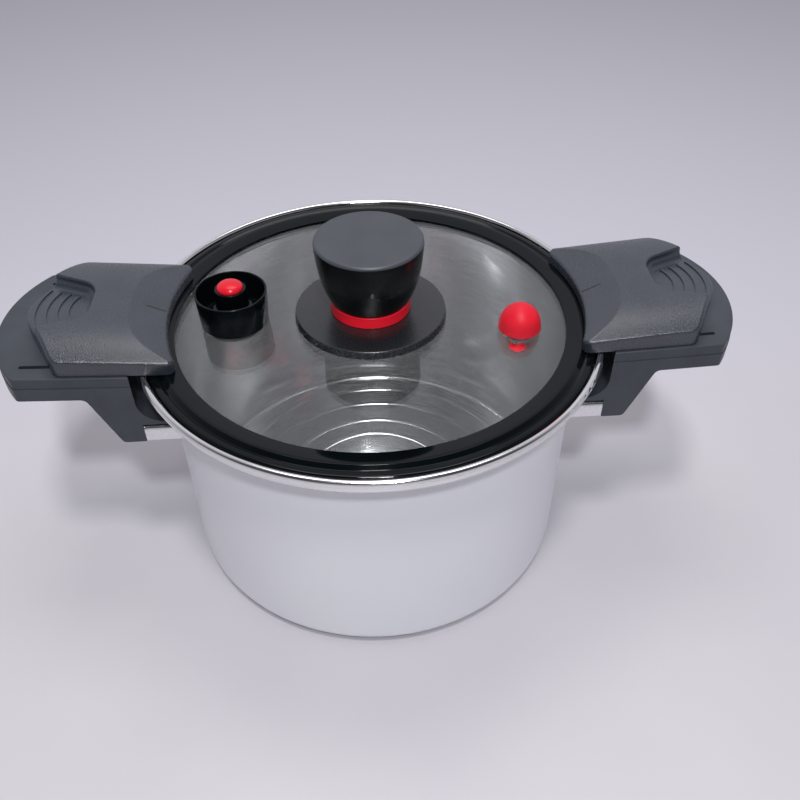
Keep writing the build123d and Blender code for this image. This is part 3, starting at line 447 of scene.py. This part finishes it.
# ---------------------------------------------------------------- knob grip
# A flared hollow grip of gloss black plastic with a full, rounded side. A boss in its floor
# holds the brass insert that takes the knob's screw.

cap_low, cap_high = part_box("knob_cap")
grip_wall, boss_wall = 2.6 * mm, 2.1 * mm
grip_top, grip_top_radius = cap_low.z + 3.0 * mm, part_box("knob_grip")[1].x
grip_foot, grip_foot_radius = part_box("knob_grip")[0].z, band_radius - 0.5 * mm
boss_radius = insert_high.x + boss_wall


def eased(start, end, start_way, end_way, steps=20):
    """A smooth curve between two points that leaves and arrives along the given ways."""
    start, end, start_way, end_way = (Vector(v) for v in (start, end, start_way, end_way))
    curve = []
    for step in range(steps + 1):
        t = step / steps
        leave = start * (2 * t**3 - 3 * t**2 + 1) + start_way * (t**3 - 2 * t**2 + t)
        arrive = end * (3 * t**2 - 2 * t**3) + end_way * (t**3 - t**2)
        curve.append(tuple(leave + arrive))
    return curve


grip_rise = grip_top - grip_foot
foot_way = (0.50 * grip_rise, 0.95 * grip_rise)
top_way = (0.04 * grip_rise, 1.0 * grip_rise)
grip_side = eased((grip_foot_radius, grip_foot), (grip_top_radius, grip_top), foot_way, top_way)
grip_section = [
    (screw_hole, grip_foot),
    *grip_side,
    (grip_top_radius - grip_wall, grip_top),
    (grip_foot_radius - grip_wall, insert_low.z),
    (boss_radius, insert_low.z),
    (boss_radius, insert_high.z),
    (insert_high.x, insert_high.z),
    (insert_high.x, insert_low.z),
    (screw_hole, insert_low.z),
]
grip_look = {"grain": 1400.0, "depth": 0.003 * mm, "sheen": 0.3}
grip_black = moulded("grip_black", (0.002, 0.003, 0.0035), 0.24, **grip_look)
spun("knob_grip_moulding", [grip_section], grip_black, "lid", "knob_plastic", ["knob_grip"])

# ---------------------------------------------------------------- knob cap
# A matt grey-black disc pressed in the grip's top by a shallow plug, with a rounded edge and a
# fine parting line where it meets the grip. Its middle is open by a pinhole.

cap_look = {"grain": 2200.0, "depth": 0.03 * mm, "mottle": 0.12, "sheen": 0.6}
cap_matt = moulded("knob_cap_matt", (0.038, 0.044, 0.053), 0.42, **cap_look)
parting, pinhole = 0.3 * mm, 0.01 * mm
plug_room, plug_depth, cap_dip, cap_rounding = 1.2 * mm, 2.0 * mm, 0.5 * mm, 1.6 * mm
cap_plug = grip_top_radius - grip_wall - plug_room
cap_section = rounded(
    [
        (pinhole, grip_top - plug_depth),
        (cap_plug, grip_top - plug_depth),
        (cap_plug, grip_top),
        (grip_top_radius - parting, grip_top),
        (grip_top_radius - parting, grip_top + parting),
        (grip_top_radius, grip_top + parting),
        (grip_top_radius, cap_high.z - cap_dip),
        (pinhole, cap_high.z),
    ],
    [0, 0, 0, 0, 0, 0, cap_rounding, 0],
    steps=10,
)
spun("knob_cap_moulding", [cap_section], cap_matt, "lid", "knob_cap_plastic", ["knob_cap"])

# ---------------------------------------------------------------- knob band and fastenings
# The band is a red plastic ring trapped between base and grip; its red is painted lighter than the
# button's to make up for the grip's shade over it. The insert and the valve's tube and nut are
# turned brass, and the screw, washer and plug's bush and nut are zinc plated.

band_look = {"grain": 300.0, "depth": 0.004 * mm, "mottle": 0.05}
# painted light: this red is lighter than the button's, to make up for the shade the grip casts on
# the band
dress(moulded("band_red_painted_lighter", (0.90, 0.014, 0.032), 0.22, **band_look), "knob_band")
turned_brass = brushed_steel("turned_brass", (0.72, 0.50, 0.22), 0.28)
dress(turned_brass, "knob_insert", "valve_tube", "valve_nut")
dress(zinc, "knob_screw", "knob_washer", "plug_bush", "plug_nut")

# ---------------------------------------------------------------- steam release cup and tower
# An open cup of gloss black plastic on the glass, nearly straight sided, round a stepped tower
# of the same plastic. A brass tube through both is held by a nut under the glass.

cup_low, cup_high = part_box("valve_cup")
cup_axis = (cup_low.x + cup_high.x) / 2, (cup_low.y + cup_high.y) / 2
cup_radius = (cup_high.x - cup_low.x) / 2
tube_low, tube_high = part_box("valve_tube")
thread_gap = 0.05 * mm
cup_bore = (tube_high.y - tube_low.y) / 2 + thread_gap
cup_wall, cup_floor, cup_lean = 1.1 * mm, 3.0 * mm, 0.9 * mm
cup_section = rounded(
    [
        (cup_bore, cup_low.z),
        (cup_radius - cup_lean, cup_low.z),
        (cup_radius, cup_high.z),
        (cup_radius - cup_wall, cup_high.z),
        (cup_radius - cup_wall - cup_lean, cup_low.z + cup_floor),
        (cup_bore, cup_low.z + cup_floor),
    ],
    [0, 0.5 * mm, 0.4 * mm, 0.4 * mm, 1.0 * mm, 0],
)
cup_part = ("lid", "valve_plastic", ["valve_cup"])
spun("valve_cup_moulding", [cup_section], gloss_black, *cup_part, axis=cup_axis)
dress(gloss_black, "valve_tower")

# ---------------------------------------------------------------- steam button
# A red plastic button in the top of the tower. Its steel stem runs down the tube to a silicone
# disc, which is pushed off the tube's end to let the steam out.

button_look = {"grain": 300.0, "depth": 0.002 * mm, "mottle": 0.05}
dress(moulded("button_red", (0.64, 0.008, 0.022), 0.22, **button_look), "vent_button")
dress(zinc, "vent_stem")
dress(smoked_rubber, "vent_seal")

# ---------------------------------------------------------------- return spring
# The return spring is wound from round steel wire with plain ends. In the valve it closes up as the
# button goes down, but here it is drawn at one length and rides with the lid.

spring_low, spring_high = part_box("vent_spring")
spring_length = spring_high.z - spring_low.z
wire = 0.45 * mm
coils, coil_steps, wire_sides = 5, 160, 10
coil_radius = (spring_high.y - spring_low.y) / 2 - wire
coil_rise = spring_length - 2 * wire
coil_foot = Vector((*cup_axis, spring_low.z + wire))
upright = Vector((0, 0, 1))
corners, faces = [], []
for step in range(coil_steps + 1):
    angle = 2 * math.pi * coils * step / coil_steps
    spoke = Vector((math.cos(angle), math.sin(angle), 0))
    middle = coil_foot + spoke * coil_radius + upright * (coil_rise * step / coil_steps)
    for side in range(wire_sides):
        lean = 2 * math.pi * side / wire_sides
        corners.append(middle + wire * (math.cos(lean) * spoke + math.sin(lean) * upright))
for step in range(coil_steps):
    here, there = step * wire_sides, (step + 1) * wire_sides
    for side in range(wire_sides):
        after = (side + 1) % wire_sides
        faces.append((here + side, here + after, there + after, there + side))
faces.append(tuple(range(wire_sides))[::-1])
faces.append(tuple(coil_steps * wire_sides + side for side in range(wire_sides)))
spring_mesh = bpy.data.meshes.new("vent_spring_coil")
spring_mesh.from_pydata(corners, [], faces)
spring_mesh.materials.append(brushed_steel("spring_wire", (0.55, 0.55, 0.57), 0.25))
spring_mesh.shade_smooth()
spring_coil = bpy.data.objects.new("vent_spring_coil", spring_mesh)
scene.collection.objects.link(spring_coil)
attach(spring_coil, "lid")
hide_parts("vent_spring")
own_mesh(spring_coil)

# ---------------------------------------------------------------- safety plug
# A soft dome moulded from red silicone, with a barbed stem that sits in a plated bush in the
# glass. Too much pressure under the lid pushes it up.

plug_look = {"grain": 1800.0, "depth": 0.012 * mm, "mottle": 0.05, "sheen": 0.2}
dress(moulded("red_silicone", (0.68, 0.012, 0.028), 0.45, **plug_look), "safety_plug")

# ---------------------------------------------------------------- floor
# The part stands on a plain pale floor with a dull paint, a little cloudy and slightly bluer
# behind the pot, where its colour is also painted a little lighter to make up for the lamps'
# light falling off there. It is dull enough that the lamps leave no bright spot in it.

half = 4.0
floor_mesh = bpy.data.meshes.new("floor")
floor_corners = [(-half, -half, 0), (half, -half, 0), (half, half, 0), (-half, half, 0)]
floor_mesh.from_pydata(floor_corners, [], [(0, 1, 2, 3)])
floor = bpy.data.objects.new("floor", floor_mesh)
scene.collection.objects.link(floor)
# painted light: the far floor colour is lighter as well as bluer, standing in for lamp light that
# falls off behind the pot
pale_floor, cloudy_floor, bluer_far_floor_painted_lighter = (0.585, 0.56, 0.59), (0.56, 0.535, 0.57), (0.59, 0.575, 0.635)
floor_finish, tree, shader = new_finish("floor_paint", pale_floor, 0.5)
place = add(tree, "ShaderNodeTexCoord").outputs["Object"]
axes = add(tree, "ShaderNodeSeparateXYZ", None, _0=place).outputs
behind = ramp(tree, axes[1], 0.0, 0.25)
clouds = ramp(tree, speckle(tree, 5.0, 6.0), 0.4, 0.6)
front = blend_colours(tree, clouds, pale_floor, cloudy_floor)
tree.links.new(blend_colours(tree, behind, front, bluer_far_floor_painted_lighter), shader.inputs["Base Color"])
floor_mesh.materials.append(floor_finish)

# ---------------------------------------------------------------- lamps
# Two small lamps over the working side give the shine and the shadows, and a wide one behind
# the pot's middle fills in from above. All three are aimed at the pot.

pot_middle = (0, 0, 0.1)


def lamp(name, place, size, power, colour=(1, 1, 1)):
    """A rectangular lamp of a size in metres and a power in watts, aimed at the pot."""
    data = bpy.data.lights.new(name, "AREA")
    data.shape = "RECTANGLE"
    data.size, data.size_y = size
    data.energy = power
    data.color = colour
    holder = bpy.data.objects.new(name, data)
    holder.location = place
    holder.rotation_euler = (Vector(pot_middle) - Vector(place)).to_track_quat("-Z", "Y").to_euler()
    scene.collection.objects.link(holder)


lamp("key_lamp", (-0.02, -0.42, 1.34), (0.18, 0.18), 7.0)
lamp("ceiling_lamp", (0.03, 0.38, 1.38), (0.8, 0.5), 4.5, (1.0, 0.98, 0.97))
lamp("front_lamp", (0.06, -0.85, 1.30), (0.11, 0.11), 9.5, (0.93, 0.96, 1.0))

# ---------------------------------------------------------------- room
# The room has pale walls, and its ceiling is bright behind the pot and dim on the working side.
# The glass, the steel and the black ring show it as their reflections.

wall_light, dim_ceiling, bright_ceiling = 0.6, 0.06, 0.76
world = bpy.data.worlds.new("room")
scene.world = world
world.use_nodes = True
tree = world.node_tree
room = tree.nodes["Background"]
way = add(tree, "ShaderNodeTexCoord").outputs["Generated"]
axes = add(tree, "ShaderNodeSeparateXYZ", None, _0=way).outputs
room.inputs["Color"].default_value = (0.89, 0.89, 0.97, 1)
ceiling = ramp(tree, axes[1], -0.2, 0.7, dim_ceiling, bright_ceiling)
above = ramp(tree, axes[2], 0.2, 0.45)
light = add(tree, "ShaderNodeMix", None, _0=above, _2=wall_light, _3=ceiling).outputs[0]
tree.links.new(light, room.inputs["Strength"])

# ---------------------------------------------------------------- camera
# The camera looks down at the pot's rim from the working side, a little from the left, with a
# short lens from half a metre away.

turn, tilt, roll = math.radians(-4.151), math.radians(41.973), math.radians(-0.256)
distance = 508.5 * mm
aim = Vector((16.0 * mm, -1.6 * mm, 84.8 * mm))
level = math.cos(tilt)
toward = Vector((math.sin(turn) * level, -math.cos(turn) * level, math.sin(tilt)))
sideways = (-toward).cross(upright).normalized()
upward = sideways.cross(-toward)
right = math.cos(roll) * sideways + math.sin(roll) * upward
top = math.cos(roll) * upward - math.sin(roll) * sideways
camera_data = bpy.data.cameras.new("camera")
camera_data.lens = 37.35
camera_data.sensor_width = 36.0
camera_data.clip_start = 0.02
camera = bpy.data.objects.new("camera", camera_data)
facing_pot = Matrix((right, top, toward)).transposed().to_4x4()
camera.matrix_world = Matrix.Translation(aim + distance * toward) @ facing_pot
scene.collection.objects.link(camera)
scene.camera = camera
scene.view_settings.view_transform = "Standard"
